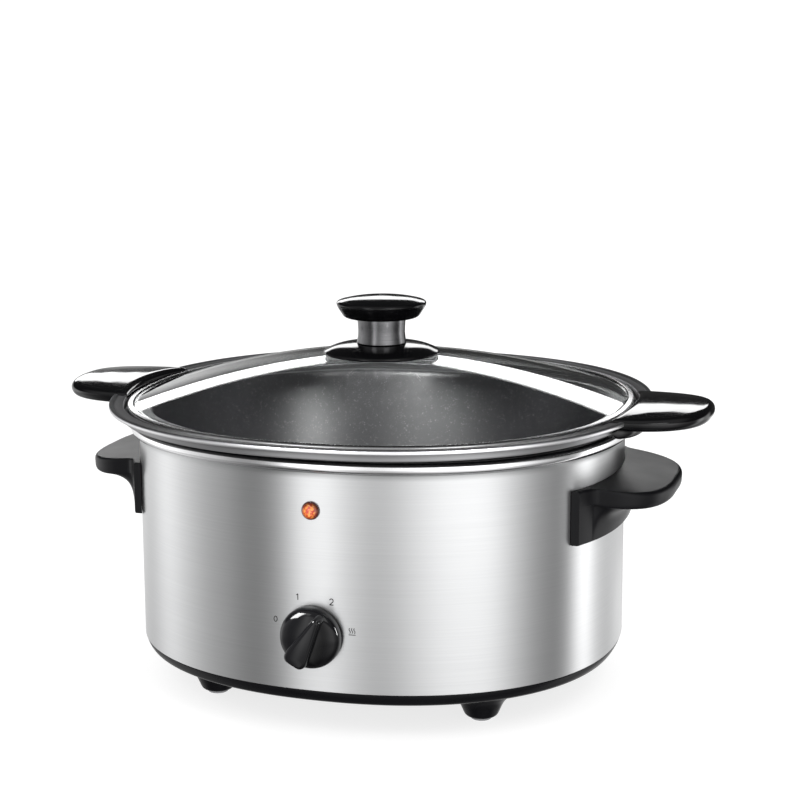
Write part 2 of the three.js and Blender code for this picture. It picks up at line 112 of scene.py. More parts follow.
knob_low, knob_high = corners("control_knob")
KNOB_RADIUS = (knob_high.x - knob_low.x) / 2
KNOB_BACK = knob_high.y
KNOB_FRONT = knob_low.y
DIAL_HEIGHT = (knob_low.z + knob_high.z) / 2
DIAL_STEP = math.radians(50)  # between two settings
DIAL_REST = math.radians(29)  # the setting at rest, clockwise from straight up

lens_low, lens_high = corners("indicator_lens")
LAMP_HEIGHT = (lens_low.z + lens_high.z) / 2
LAMP_RADIUS = (lens_high.x - lens_low.x) / 2

FRONT = -1  # the front looks along -Y
WALL_FRONT = FRONT * (WALL - OVAL_NARROWING)
ON_AXIS = 1e-6  # a radius smaller than this is a point on the axis
WELD = 1e-7  # metres


# ---- Shapes ----


def oval_short(long, narrowing=OVAL_NARROWING):
    return long - narrowing * min(1.0, long / SMALL_OVAL)


def oval(long, angle, narrowing=OVAL_NARROWING):
    """Point of the oval with that long half-axis, seen from the centre at that angle."""
    if long < ON_AXIS:
        return 0.0, 0.0
    across, along = math.cos(angle), math.sin(angle)
    short = oval_short(long, narrowing)
    spread = abs(across / long) ** OVAL_EXPONENT + abs(along / short) ** OVAL_EXPONENT
    reach = spread ** (-1 / OVAL_EXPONENT)
    return reach * across, reach * along


def lid_oval(long, angle):
    return oval(long, angle, LID_NARROWING)


def pot_oval(long, angle):
    """The pot's body is an oval like the housing; beyond its mouth it is rounder."""
    body = long < POT_MOUTH + MOUTH_ROLL
    return oval(long, angle, OVAL_NARROWING if body else LID_NARROWING)


def circle(radius, angle):
    return radius * math.cos(angle), radius * math.sin(angle)


def oval_x(long, y, narrowing=OVAL_NARROWING):
    """How far out the oval lies at that y."""
    return long * (1 - abs(y / oval_short(long, narrowing)) ** OVAL_EXPONENT) ** (1 / OVAL_EXPONENT)


def wall_y(x):
    """The y of the front wall's outside at that x."""
    short = oval_short(WALL)
    return -short * (1 - abs(x / WALL) ** OVAL_EXPONENT) ** (1 / OVAL_EXPONENT)


def eased(points, closed=False, steps=6):
    """The line through (u, v, ease) corners, each rounded over its ease on both sides."""
    longest_ease = 0.48  # of a side's length, so that two easings never meet
    made = []
    count = len(points)
    for i, (u, v, ease) in enumerate(points):
        corner = Vector((u, v))
        at_end = not closed and i in (0, count - 1)
        if ease == 0 or at_end:
            made.append(corner)
            continue
        before = Vector(points[i - 1][:2]) - corner
        after = Vector(points[(i + 1) % count][:2]) - corner
        start = corner + before.normalized() * min(ease, before.length * longest_ease)
        end = corner + after.normalized() * min(ease, after.length * longest_ease)
        for k in range(steps + 1):
            s = k / steps
            made.append(start * (1 - s) ** 2 + corner * 2 * s * (1 - s) + end * s**2)
    return [(p.x, p.y) for p in made]


def skin(rings, closed_along=False, closed_around=True):
    """Vertices and quads of a surface through rings of points. A ring of one point is a pole."""
    verts, rows = [], []
    around = max(len(ring) for ring in rings)
    for ring in rings:
        start = len(verts)
        verts.extend(ring)
        rows.append([start + (i if len(ring) > 1 else 0) for i in range(around)])
    if closed_along:
        rows.append(rows[0])
    faces = []
    for low, high in zip(rows, rows[1:]):
        for i in range(around if closed_around else around - 1):
            j = (i + 1) % around
            face = list(dict.fromkeys((low[i], low[j], high[j], high[i])))
            if len(face) > 2:
                faces.append(face)
    return verts, faces


def turned(profile, plan=circle, segments=96):
    """A profile of (radius, height) turned about Z along a circle or an oval."""
    on_axis = profile[0][0] < ON_AXIS
    rings = []
    for radius, height in profile:
        if radius < ON_AXIS:
            rings.append([(0.0, 0.0, height)])
            continue
        ring = []
        for i in range(segments):
            x, y = plan(radius, 2 * math.pi * i / segments)
            ring.append((x, y, height))
        rings.append(ring)
    return skin(rings, closed_along=not on_axis)


def capped(rings):
    """A closed body through rings of points, shut by a face at each end."""
    verts, faces = skin(rings)
    around = len(rings[0])
    faces.append(list(range(around)))
    faces.append([len(verts) - around + i for i in range(around)])
    return verts, faces


def joined(*bodies):
    verts, faces = [], []
    for body_verts, body_faces in bodies:
        start = len(verts)
        verts.extend(body_verts)
        faces.extend([[start + i for i in face] for face in body_faces])
    return verts, faces


def moved(body, matrix):
    verts, faces = body
    return [tuple(matrix @ Vector(v)) for v in verts], faces


def at_end(body, side):
    """A body drawn for the right-hand end (side 1), turned round for the left-hand end (side -1)."""
    return moved(body, Matrix.Rotation(math.pi, 4, "Z")) if side < 0 else body


def along_y(y, x=0.0, z=0.0, sign=FRONT):
    """Turns a body built around +Z so that it points along -Y (or +Y), and moves it there."""
    return Matrix.Translation((x, y, z)) @ Matrix.Rotation(math.radians(-90 * sign), 4, "X")


def placed(name, shape, weld=True):
    """A mesh object of a shape drawn in millimetres, with its faces turned outwards."""
    verts, faces = shape
    mesh = bpy.data.meshes.new(name)
    mesh.from_pydata([Vector(v) * MM for v in verts], [], faces)
    work = bmesh.new()
    work.from_mesh(mesh)
    if weld:
        bmesh.ops.remove_doubles(work, verts=work.verts, dist=WELD)
    bmesh.ops.recalc_face_normals(work, faces=work.faces)
    work.to_mesh(mesh)
    work.free()
    made = bpy.data.objects.new(name, mesh)
    bpy.context.scene.collection.objects.link(made)
    return made


def piece(name, shape, look, body, replaces, sharp=40):
    """An object of the given shape that rides on a body in place of its CAD nodes.

    Edges that bend by more than sharp degrees stay sharp.
    """
    made = placed(name, shape)
    made.data.shade_smooth()
    made.data.set_sharp_from_angle(angle=math.radians(sharp))
    made.data.materials.append(look)
    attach(made, body)
    if replaces:
        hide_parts(*replaces)
    return made


def turned_piece(name, profile, look, body, node, plan=circle, segments=96, sharp=40):
    shape = turned(profile, plan, segments)
    return piece(name, shape, look, body, [node], sharp)


def carve(target, cutter_shape):
    """Cuts a closed shape out of a piece for good."""
    cutter = placed("cutter", cutter_shape, weld=False)
    cut = target.modifiers.new("cut", "BOOLEAN")
    cut.operation = "DIFFERENCE"
    cut.solver = "EXACT"
    cut.object = cutter
    bpy.context.view_layer.update()
    result = target.evaluated_get(bpy.context.evaluated_depsgraph_get())
    carved = bpy.data.meshes.new_from_object(result)
    target.modifiers.clear()
    target.data = carved
    bpy.data.objects.remove(cutter)


# ---- Materials ----


class Look:
    """A Principled material, with helpers for the node tree behind it."""

    def __init__(self, name, colour, roughness, metallic=0.0, **sockets):
        self.material = bpy.data.materials.new(name)
        self.material.use_nodes = True
        self.tree = self.material.node_tree
        self.shader = self.tree.nodes["Principled BSDF"]
        self.set("Base Color", (*colour, 1.0))
        self.set("Roughness", roughness)
        self.set("Metallic", metallic)
        for socket, value in sockets.items():
            self.set(socket.replace("_", " "), value)

    def set(self, socket, value):
        self.shader.inputs[socket].default_value = value

    def node(self, kind, **settings):
        made = self.tree.nodes.new("ShaderNode" + kind)
        for key, value in settings.items():
            setattr(made, key, value)
        return made

    def link(self, source, target):
        self.tree.links.new(source, target)

    def place(self, stretch=(1, 1, 1)):
        """The point on the piece, in metres, stretched along each axis."""
        where = self.node("TexCoord")
        mapping = self.node("Mapping")
        mapping.inputs["Scale"].default_value = stretch
        self.link(where.outputs["Object"], mapping.inputs["Vector"])
        return mapping.outputs["Vector"]

    def noise(self, scale, detail=3.0, stretch=(1, 1, 1)):
        made = self.node("TexNoise")
        made.inputs["Scale"].default_value = scale
        made.inputs["Detail"].default_value = detail
        self.link(self.place(stretch), made.inputs["Vector"])
        return made.outputs["Fac"]

    def spread(self, source, low, high, start=0.0, end=1.0):
        """source from start to end becomes low to high."""
        made = self.node("MapRange", clamp=True)
        made.inputs["From Min"].default_value = start
        made.inputs["From Max"].default_value = end
        made.inputs["To Min"].default_value = low
        made.inputs["To Max"].default_value = high
        self.link(source, made.inputs["Value"])
        return made.outputs["Result"]

    def blend(self, amount, first, second):
        """The colour first where amount is 0, and second where it is 1."""
        made = self.node("Mix", data_type="RGBA")
        self.link(amount, made.inputs["Factor"])
        colour_sockets = (6, 7)
        for socket, colour in zip(colour_sockets, (first, second)):
            if isinstance(colour, tuple):
                made.inputs[socket].default_value = (*colour[:3], 1.0)
            else:
                self.link(colour, made.inputs[socket])
        return made.outputs[2]

    def mixed(self, amount, first, second):
        """The number first where amount is 0, and second where it is 1."""
        made = self.node("Mix", data_type="FLOAT")
        self.link(amount, made.inputs["Factor"])
        number_sockets = (2, 3)
        for socket, value in zip(number_sockets, (first, second)):
            if isinstance(value, float):
                made.inputs[socket].default_value = value
            else:
                self.link(value, made.inputs[socket])
        return made.outputs[0]

    def above(self, height, softness=0.3):
        """1 above that height in millimetres and 0 below it."""
        split = self.node("SeparateXYZ")
        self.link(self.place(), split.inputs[0])
        low, high = (height - softness) * MM, (height + softness) * MM
        return self.spread(split.outputs["Z"], 0.0, 1.0, low, high)

    def bump(self, height, strength, depth):
        made = self.node("Bump")
        made.inputs["Strength"].default_value = strength
        made.inputs["Distance"].default_value = depth
        self.link(height, made.inputs["Height"])
        self.link(made.outputs["Normal"], self.shader.inputs["Normal"])

    def to(self, socket, source):
        self.link(source, self.shader.inputs[socket])


BRUSHED_ANISOTROPY = 0.75
QUARTER_TURN = 0.25
# painted highlight: the polished rim is coloured lighter than the rest of the same sheet
POLISHED_PAINTED_HIGHLIGHT_TINT = (0.90, 0.90, 0.91)
POLISHED_ROUGHNESS = 0.16


def brushed_metal(name, colour, roughness, grain=1400.0, contrast=0.05, polished=None):
    """Metal with fine lines running round it, which draw reflections out up and down.

    Above the given height it is polished smooth, and its colour is painted lighter as a highlight.
    """
    look = Look(name, colour, roughness, metallic=1.0, Anisotropic=BRUSHED_ANISOTROPY)
    look.set("Anisotropic Rotation", QUARTER_TURN)
    round_z = look.node("Tangent", direction_type="RADIAL", axis="Z")
    look.to("Tangent", round_z.outputs["Tangent"])
    lines = look.noise(1.0, detail=4.0, stretch=(14, 14, grain))
    clouds = look.noise(22.0, detail=2.0)
    dark = tuple(c * (1 - contrast) for c in colour)
    light = tuple(min(1.0, c * (1 + contrast)) for c in colour)
    tint = look.blend(look.spread(lines, 0, 1, 0.3, 0.7), dark, light)
    dullness = look.spread(clouds, roughness - 0.02, roughness + 0.03)
    if polished is not None:
        smooth = look.above(polished)
        # painted highlight: above that height the colour turns lighter
        tint = look.blend(smooth, tint, POLISHED_PAINTED_HIGHLIGHT_TINT)
        dullness = look.mixed(smooth, dullness, POLISHED_ROUGHNESS)
        look.to("Anisotropic", look.mixed(smooth, BRUSHED_ANISOTROPY, 0.0))
    look.to("Base Color", tint)
    look.to("Roughness", dullness)
    look.bump(lines, contrast * 0.4, 0.00004)
    return look.material


def polished_metal(name, colour, roughness):
    look = Look(name, colour, roughness, metallic=1.0)
    clouds = look.noise(60.0, detail=2.0)
    look.to("Roughness", look.spread(clouds, roughness * 0.8, roughness * 1.3))
    look.bump(look.noise(900.0), 0.02, 0.00002)
    return look.material


def moulded_plastic(name, colour, roughness, grain=0.0, **sockets):
    """Moulded plastic: nearly even gloss, or a fine grain that breaks the gloss up."""
    look = Look(name, colour, roughness, **sockets)
    clouds = look.noise(45.0, detail=2.0)
    look.to("Roughness", look.spread(clouds, roughness * 0.85, roughness * 1.15))
    look.bump(look.noise(2400.0 if grain else 160.0, detail=2.0), grain or 0.01, 0.00005)
    return look.material


COATING_BLACK = (0.006, 0.006, 0.007)
FLECK_GREY = (0.09, 0.09, 0.095)
NECK_METAL = (0.24, 0.24, 0.245)
# painted highlight: the flange's outer lip, the same metal made lighter to show a bright line
LIP_PAINTED_HIGHLIGHT_METAL = (0.66, 0.66, 0.67)
LEDGE_METAL = (0.26, 0.26, 0.27)
BARE_ROUGHNESS = 0.34


def non_stick_coating():
    """Black coating with pale flecks and a pebbled surface, and a bare satin metal flange whose
    outer lip is painted lighter as a highlight.
    """
    look = Look("non_stick_coating", COATING_BLACK, 0.36)
    bare = look.above(NECK_UNDER + 0.4)
    flecks = look.node("TexVoronoi")
    flecks.inputs["Scale"].default_value = 900.0
    look.link(look.place(), flecks.inputs["Vector"])
    fleck = look.spread(flecks.outputs["Distance"], 1.0, 0.0, 0.10, 0.34)
    patches = look.spread(look.noise(420.0, detail=2.0), 0.0, 1.0, 0.48, 0.62)
    both = look.node("Math", operation="MULTIPLY")
    look.link(fleck, both.inputs[0])
    look.link(patches, both.inputs[1])
    coating = look.blend(both.outputs[0], COATING_BLACK, FLECK_GREY)
    # painted highlight: the lighter metal on the flange's outer lip
    lip = look.blend(look.above(FLANGE_UNDERSIDE - 0.2), NECK_METAL, LIP_PAINTED_HIGHLIGHT_METAL)
    metal = look.blend(look.above(FLANGE_TOP - 0.9), lip, LEDGE_METAL)
    look.to("Base Color", look.blend(bare, coating, metal))
    look.to("Metallic", bare)
    pebbled = look.spread(look.noise(700.0), 0.28, 0.42)
    look.to("Roughness", look.mixed(bare, pebbled, BARE_ROUGHNESS))
    look.bump(look.noise(800.0, detail=2.0), 0.12, 0.0002)
    return look.material


def clear_glass():
    look = Look("lid_glass_clear", (0.97, 0.985, 0.98), 0.0, IOR=1.45, Transmission_Weight=1.0)
    look.bump(look.noise(9.0, detail=1.0), 0.02, 0.0002)
    return look.material


# the lit lens's orange, which also colours its painted highlights
LAMP_GLOW_AND_HIGHLIGHT_ORANGE = (1.0, 0.34, 0.06)
LAMP_RED = (0.50, 0.035, 0.006)
# painted shade at the lens's edge
LAMP_PAINTED_EDGE_SHADE = (0.05, 0.004, 0.002)
LAMP_GLOW = 0.22


def lamp_amber():
    """Amber lens of a lit lamp: an orange glow with painted highlights in the middle, and painted
    shade that darkens its edge to deep red.
    """
    look = Look("lamp_amber", (0.9, 0.22, 0.02), 0.12, Coat_Weight=0.6)
    where = look.node("TexCoord")
    split = look.node("SeparateXYZ")
    look.link(where.outputs["Object"], split.inputs[0])
    out = look.node("CombineXYZ")
    look.link(split.outputs["X"], out.inputs["X"])
    height = look.node("Math", operation="SUBTRACT")
    height.inputs[1].default_value = LAMP_HEIGHT * MM
    look.link(split.outputs["Z"], height.inputs[0])
    look.link(height.outputs[0], out.inputs["Z"])
    radius = look.node("VectorMath", operation="LENGTH")
    look.link(out.outputs[0], radius.inputs[0])
    # painted shade: the lens darkens towards its edge
    edge_start, edge_end = LAMP_RADIUS * 0.45 * MM, LAMP_RADIUS * 0.92 * MM
    edge = look.spread(radius.outputs["Value"], 0.0, 1.0, edge_start, edge_end)
    # painted highlights: orange patches scattered over the deep red
    painted_highlight_pattern = look.spread(look.noise(700.0, detail=1.0), 0, 1, 0.4, 0.6)
    middle = look.blend(painted_highlight_pattern, LAMP_GLOW_AND_HIGHLIGHT_ORANGE, LAMP_RED)
    colour = look.blend(edge, middle, LAMP_PAINTED_EDGE_SHADE)
    look.to("Base Color", colour)
    # the lens glows as a lit lamp, and its glow carries the painted highlights and shade
    look.to("Emission Color", colour)
    look.set("Emission Strength", LAMP_GLOW)
    return look.material


def matt_rubber():
    look = Look("foot_rubber_grey", (0.30, 0.30, 0.31), 0.75)
    look.bump(look.noise(1500.0), 0.25, 0.0001)
    dust = look.noise(300.0)
    look.to("Base Color", look.blend(dust, (0.25, 0.25, 0.26), (0.36, 0.36, 0.37)))
    return look.material


def mica_band():
    look = Look("mica_band", (0.5, 0.44, 0.34), 0.55)
    flakes = look.noise(260.0, detail=4.0)
    look.to("Base Color", look.blend(flakes, (0.36, 0.30, 0.22), (0.62, 0.56, 0.45)))
    look.bump(look.noise(700.0), 0.2, 0.0001)
    return look.material


GLOSSY = (0.003, 0.003, 0.0035)
SATIN = (0.004, 0.004, 0.005)

# the rim above the crease is polished and painted lighter as a highlight
WALL_STEEL = brushed_metal(
    "wall_steel_brushed", (0.66, 0.665, 0.67), 0.30, contrast=0.025, polished=RIM_CREASE + 0.5
)
RIM_STEEL = polished_metal("rim_steel_polished", (0.62, 0.62, 0.63), 0.2)
NECK_STEEL = brushed_metal("neck_steel_smoky", (0.16, 0.16, 0.165), 0.24, contrast=0.12)
FIXING_STEEL = polished_metal("fixing_steel_plated", (0.55, 0.55, 0.56), 0.32)
WELL_METAL = brushed_metal("well_aluminium_satin", (0.56, 0.56, 0.57), 0.42, grain=700.0)
NON_STICK = non_stick_coating()
GLOSS_BLACK = moulded_plastic("knob_black_gloss", GLOSSY, 0.09, Specular_IOR_Level=0.25)
HANDLE_GLOSS = moulded_plastic("pot_handle_black_gloss", GLOSSY, 0.07, Specular_IOR_Level=0.4)
SATIN_BLACK = moulded_plastic(
    "side_handle_black_satin", SATIN, 0.36, grain=0.05, Specular_IOR_Level=0.16
)
TRAY_BLACK = moulded_plastic("base_black_satin", SATIN, 0.28, grain=0.04, Specular_IOR_Level=0.15)
SWITCH_PLASTIC = moulded_plastic("switch_off_white", (0.66, 0.61, 0.52), 0.5, grain=0.1)
RUBBER = matt_rubber()
MICA = mica_band()
GLASS = clear_glass()
AMBER = lamp_amber()
PRINT = moulded_plastic("dial_print_black", (0.02, 0.02, 0.02), 0.5)


# ---- Housing ----


def steel_wall():
    """One sheet: a straight wall that rolls outwards into a rim with a crease under it."""
    inside = WALL - WALL_SHEET
    profile = eased([
        (inside, WALL_BOTTOM, 0),
        (WALL, WALL_BOTTOM, 0.3),
        (WALL, RIM_CREASE - 2.6, 1.5),
        (WALL + 0.5, RIM_CREASE, 0.6),
        (WALL + 4.6, RIM_CREASE + 0.8, 2.2),
        (WALL + RIM_ROLL, RIM_CREASE + 3.4, 2.2),
        (WALL + RIM_ROLL - 0.9, RIM_TOP, 2.8),
        (WALL - 2.8, RIM_TOP, 3.4),
        (WALL - 4.6, RIM_TOP - 2.6, 1.6),
        (WALL - 4.6, RIM_TOP - 5.2, 0.3),
        (WALL - 3.6, RIM_TOP - 5.2, 0.3),
        (WALL - 3.6, RIM_TOP - 3.2, 1.2),
        (WALL - 2.0, RIM_TOP - 1, 1.6),
        (WALL + 3.6, RIM_TOP - 1, 2.6),
        (WALL + 4.5, RIM_CREASE + 3.4, 1.4),
        (WALL + 3.8, RIM_CREASE + 1.8, 1.0),
        (WALL - 0.5, RIM_CREASE + 0.8, 0.6),
        (inside, RIM_CREASE - 3, 1.0),
    ], closed=True)
    turned_piece(
        "steel_wall", profile, WALL_STEEL, "housing", "outer_shell", oval, 288, sharp=50
    )


def foot_shape(x, y):
    profile = eased([
        (0, FOOT_BOTTOM + 2, 0),
        (PAD_RADIUS + 0.5, FOOT_BOTTOM + 2, 0),
        (PAD_RADIUS + 0.5, FOOT_BOTTOM, 0),
        (8.2, FOOT_BOTTOM, 0.6),
        (9.6, FOOT_BOTTOM + 1.2, 0.8),
        (13, 11, 3),
        (19, 17.2, 3),
        (24, 20, 0),
        (0, 20.4, 0),
    ])
    return moved(turned(profile, segments=64), Matrix.Translation((x, y, 0)))


def base_tray():
    """The black skirt under the wall, closed by a floor with four moulded feet."""
    foot_height = 16.6
    sheet = 2.8
    gap = 0.3
    floor = tray_low.z + foot_height
    top = WALL_BOTTOM - gap
    profile = eased([
        (0, floor, 0),
        (134, floor, 5),
        (140.4, floor + 2.2, 3),
        (142.9, floor + 6, 2),
        (143.7, top, 0.6),
        (WALL - 1.4, top, 0),
        (WALL - 1.4, tray_high.z, 0.3),
        (140.2, tray_high.z, 0.3),
        (140.2, floor + 5.4, 2),
        (136, floor + sheet, 2),
        (0, floor + sheet, 0),
    ])
    shapes = [turned(profile, oval, segments=224)]
    for x in (-PAD_CENTRE.x, PAD_CENTRE.x):
        for y in (-abs(PAD_CENTRE.y), abs(PAD_CENTRE.y)):
            shapes.append(foot_shape(x, y))
    piece("base_skirt", joined(*shapes), TRAY_BLACK, "housing", ["base_tray"])


def foot_pads():
    top = pad_high.z
    profile = eased([(0, 0, 0), (PAD_RADIUS, 0, 0.9), (PAD_RADIUS, top, 0), (0, top, 0)])
    for row, y_sign in (("front", -1), ("rear", 1)):
        for end, x_sign in (("left", -1), ("right", 1)):
            place = Matrix.Translation((x_sign * PAD_CENTRE.x, y_sign * abs(PAD_CENTRE.y), 0))
            shape = moved(turned(profile, segments=48), place)
            name = f"{row}_{end}"
            piece(f"rubber_foot_{name}", shape, RUBBER, "housing", [f"foot_pad_{name}"])


PLATE = 4.2  # thickness of the side handle's plate
PLATE_HALF_WIDTH = side_high.y
SHELF_HALF_WIDTH = PLATE_HALF_WIDTH - 11
SHELF_CENTRE = 130.0
SHELF_EXPONENT = 3.0
SHELF_LIP = 9.3  # height of the shelf's outer edge
SHELF_SLOPE = 0.13
SHELF_FILLET = 7.0  # where the shelf's ends sweep into the plate
FILLET_OVERLAP = 2.0  # the sweep starts this far inside the shelf's end
FILLET_FADE = 2.5


def shelf_reach(y):
    """How far out the side handle stands at that y."""
    plate = oval_x(WALL + PLATE, y)
    across = min(1.0, abs(y / SHELF_HALF_WIDTH))
    bulge = (1 - across**SHELF_EXPONENT) ** (1 / SHELF_EXPONENT)
    shelf = SHELF_CENTRE + (side_high.x - SHELF_CENTRE) * bulge
    rise = max(0.0, shelf - plate)
    past = max(0.0, abs(y) - SHELF_HALF_WIDTH + FILLET_OVERLAP)
    fillet = SHELF_FILLET * math.exp(-past / FILLET_FADE)
    return plate + (rise**3 + fillet**3) ** (1 / 3)


def side_handle_section(y):
    """The outline in x and z of the handle cut at that y."""
    gap = 0.3
    foot = oval_x(WALL + gap, y)
    face = oval_x(WALL + PLATE, y)
    depth = max(0.0, min(shelf_reach(y), side_high.x) - face)
    top, bottom = side_high.z, side_low.z
    slope = SHELF_SLOPE * depth
    lip = SHELF_LIP
    corners_at_y = [
        (foot, top, 0),
        (face + depth, top - slope, 2.2 + 0.03 * depth),
        (face + depth * 0.985, top - slope - lip, 2.0 + 0.05 * depth),
        (face + depth * 0.42, top - slope - lip - 0.04 * depth, 7),
        (face + depth * 0.10, top - lip - 8 - 0.05 * depth, 6),
        (face, bottom, 1.0),
        (foot, bottom, 0),
    ]
    return eased(corners_at_y, closed=True, steps=7)


def side_handle_stations():
    """Where along y the handle's outline is drawn, crowded where the shelf's ends turn fastest."""
    wide, crowded, last = 22, 36, 5
    crowd_width = 15
    crowd = SHELF_HALF_WIDTH - 12
    rest = PLATE_HALF_WIDTH - crowd - crowd_width
    half = [crowd * i / wide for i in range(wide)]
    half += [crowd + crowd_width * i / crowded for i in range(crowded)]
    half += [crowd + crowd_width + rest * i / last for i in range(last + 1)]
    return [-y for y in reversed(half[1:])] + half


def finger_recess():
    """A pocket open below, whose ends draw in like a pillow's."""
    reach, middle = 27.5, 162.0
    bottom, roof, inner, outer = 85, 126.4, 152.2, 171.6
    steps = 12
    profile = eased([
        (inner, bottom, 0),
        (inner, 112, 8),
        (155.5, 122.5, 6),
        (165, roof, 5),
        (outer, 122, 4),
        (outer, bottom, 0),
    ])
    rings = []
    for i in range(steps + 1):
        t = -1 + 2 * i / steps
        end = abs(t) ** 6
        squeeze = 1 - 0.35 * end
        rings.append([(middle + (x - middle) * squeeze, reach * t, z - 3 * end) for x, z in profile])
    return capped(rings)


def side_handle(name, side):
    """A shelf to lift by that sweeps down into the plate on the wall, with a finger recess below."""
    rings = [[(x, y, z) for x, z in side_handle_section(y)] for y in side_handle_stations()]
    shape = at_end(capped(rings), side)
    made = piece(
        f"lift_{name}", shape, SATIN_BLACK, "housing", [name], sharp=45
    )
    carve(made, at_end(finger_recess(), side))


def heating_well():
    """The thin metal well that the pot hangs in, whose lip ends under the rim's inner fold."""
    sheet = 1.2
    low, lip_top = well_low.z, well_high.z
    profile = eased([
        (0, low, 0),
        (116.4, low, 6),
        (127, 64.6, 6),
        (131.1, 73.6, 5),
        (139, lip_top - sheet, 0.8),
        (142.4, lip_top - sheet, 0.3),
        (142.4, lip_top, 0.3),
        (138.2, lip_top, 1.6),
        (137.6, lip_top - 1.8, 1),
        (129.9, 74, 5),
        (126.2, 65.6, 6),
        (116, low + sheet, 6),
        (0, low + sheet, 0),
    ])
    turned_piece(
        "well_liner", profile, WELL_METAL, "housing", "heating_well", oval, 224
    )


def indicator_lens():
    """A domed amber lens whose stem goes back through the wall."""
    back = -5.5
    profile = eased([
        (0, back, 0),
        (3.6, back, 0.3),
        (3.6, 0.3, 0),
        (LAMP_RADIUS, 0.3, 0.2),
        (LAMP_RADIUS, 1.0, 0.6),
        (3.4, 3.15, 2.2),
        (0, 3.2, 0),
    ])
    shape = moved(turned(profile, segments=64), along_y(WALL_FRONT, z=LAMP_HEIGHT))
    piece("lamp_lens", shape, AMBER, "housing", ["indicator_lens"])


def cord_gland():
    low, high = corners("cord_gland")
    centre = (low + high) / 2
    flange = -WALL_FRONT + 0.3
    radius = (high.x - low.x) / 2
    profile = eased([
        (3.4, low.y, 0.3),
        (5.9, low.y, 0.4),
        (5.9, flange, 0),
        (radius, flange, 0.3),
        (radius, flange + 2.3, 1),
        (7.4, flange + 4.2, 1.6),
        (6.4, high.y, 0.6),
        (3.4, high.y, 0.5),
    ], closed=True)
    shape = moved(turned(profile, segments=56), along_y(0, z=centre.z, sign=1))
    piece("gland_sleeve", shape, TRAY_BLACK, "housing", ["cord_gland"])


# ---- Dial ----


def control_knob():
    """A domed round base with a ridge across it, wide at its tail and narrow at its pointer."""
    depth = KNOB_BACK - KNOB_FRONT
    base = eased([
        (0, 0.6, 0),
        (KNOB_RADIUS - 0.6, 0.6, 0),
        (KNOB_RADIUS - 0.6, 0, 0.2),
        (KNOB_RADIUS, 0.2, 0.5),
        (KNOB_RADIUS - 0.1, 4.4, 1.6),
        (KNOB_RADIUS - 2.6, 7.4, 2.6),
        (9, 9.0, 5),
        (0, 9.2, 0),
    ])
    tail = KNOB_RADIUS - 0.8
    plan = [
        (-2.5, tail, 1.6),
        (2.5, tail, 1.6),
        (7.4, -13, 3.5),
        (5.2, -tail, 2.4),
        (-5.2, -tail, 2.4),
        (-7.4, -13, 3.5),
    ]
    # the ridge's sides draw in as they rise
    layers = [(0, 1.5), (0.2, 8), (0.45, depth - 1.5), (0.9, depth - 0.6)]
    layers += [(1.5, depth - 0.12), (2.0, depth)]
    rings = []
    for inset, height in layers:
        inner = []
        for u, v, ease in plan:
            scale_u = max(0.1, abs(u) - inset) / abs(u)
            inner.append((u * scale_u, v * (1 - inset / tail), ease))
        ring = []
        for u, v in eased(inner, closed=True, steps=5):
            # the ridge's ends lean in with the rim of the base
            lean = 1 - 0.05 * height / depth
            ring.append((u, v * lean, height))
        rings.append(ring)
    turn = Matrix.Rotation(-DIAL_REST, 4, "Z")
    knob = joined(turned(base, segments=128), capped(rings))
    shape = moved(knob, along_y(KNOB_BACK, z=DIAL_HEIGHT) @ turn)
    piece("dial_knob", shape, GLOSS_BLACK, "dial", ["control_knob"], sharp=38)


def ribbon(line, width, closed=False):
    """A flat printed stroke on the front wall, from a line of (x, z) points."""
    bottom, top = 0.01, 0.06  # height of the print over the wall
    rings, count = [], len(line)
    for i, (x, z) in enumerate(line):
        back = Vector(line[i - 1] if closed or i else line[0])
        ahead = Vector(line[(i + 1) % count] if closed or i < count - 1 else line[-1])
        along = (ahead - back).normalized()
        side = Vector((-along.y, along.x)) * width / 2
        ring = []
        for sign, lift in ((1, bottom), (-1, bottom), (-1, top), (1, top)):
            px, pz = x + sign * side.x, z + sign * side.y
            ring.append((px, wall_y(px) - lift, pz))
        rings.append(ring)
    if closed:
        return skin(rings, closed_along=True)
    return capped(rings)


def dial_marks():
    """Settings round the knob: off, one, two and keep-warm."""
    reach, width, fine, tall = 22.9, 0.5, 0.42, 3.4
    strokes = []

    def centre(step):
        angle = DIAL_REST + step * DIAL_STEP
        return Vector((reach * math.sin(angle), DIAL_HEIGHT + reach * math.cos(angle)))

    def arc(middle, rx, rz, start, end, steps=14):
        angles = [math.radians(start + (end - start) * i / steps) for i in range(steps + 1)]
        return [(middle.x + rx * math.cos(a), middle.y + rz * math.sin(a)) for a in angles]

    off = centre(-2)
    strokes.append(ribbon(arc(off, 0.95, 1.5, 0, 342, 18), width, closed=True))
    one = centre(-1)
    foot, tip = one.y - tall / 2, one.y + tall / 2
    strokes.append(ribbon([(one.x, foot), (one.x, tip)], width))
    strokes.append(ribbon([(one.x - 0.8, tip - 0.8), (one.x, tip)], width))
    two = centre(0)
    foot, bowl_height = two.y - tall / 2, 1.05
    bowl = Vector((two.x, two.y + tall / 2 - bowl_height))
    curve = arc(bowl, 1.0, bowl_height, 165, -35, 12)
    strokes.append(ribbon([*curve, (two.x - 1.05, foot)], width))
    strokes.append(ribbon([(two.x - 1.05, foot), (two.x + 1.1, foot)], width))
    warm = centre(1)
    wave_steps, sway = 16, 0.35
    for offset in (-1.3, 0, 1.3):
        wave = []
        for i in range(wave_steps + 1):
            s = i / wave_steps
            x = warm.x + offset + sway * math.sin(2 * math.pi * s)
            wave.append((x, warm.y - 1.5 + 3.0 * s))
        strokes.append(ribbon(wave, fine))
    strokes.append(ribbon([(warm.x - 1.9, warm.y - 2.3), (warm.x + 1.9, warm.y - 2.3)], fine))
    piece("dial_marks", joined(*strokes), PRINT, "housing", [])


# ---- Pot ----


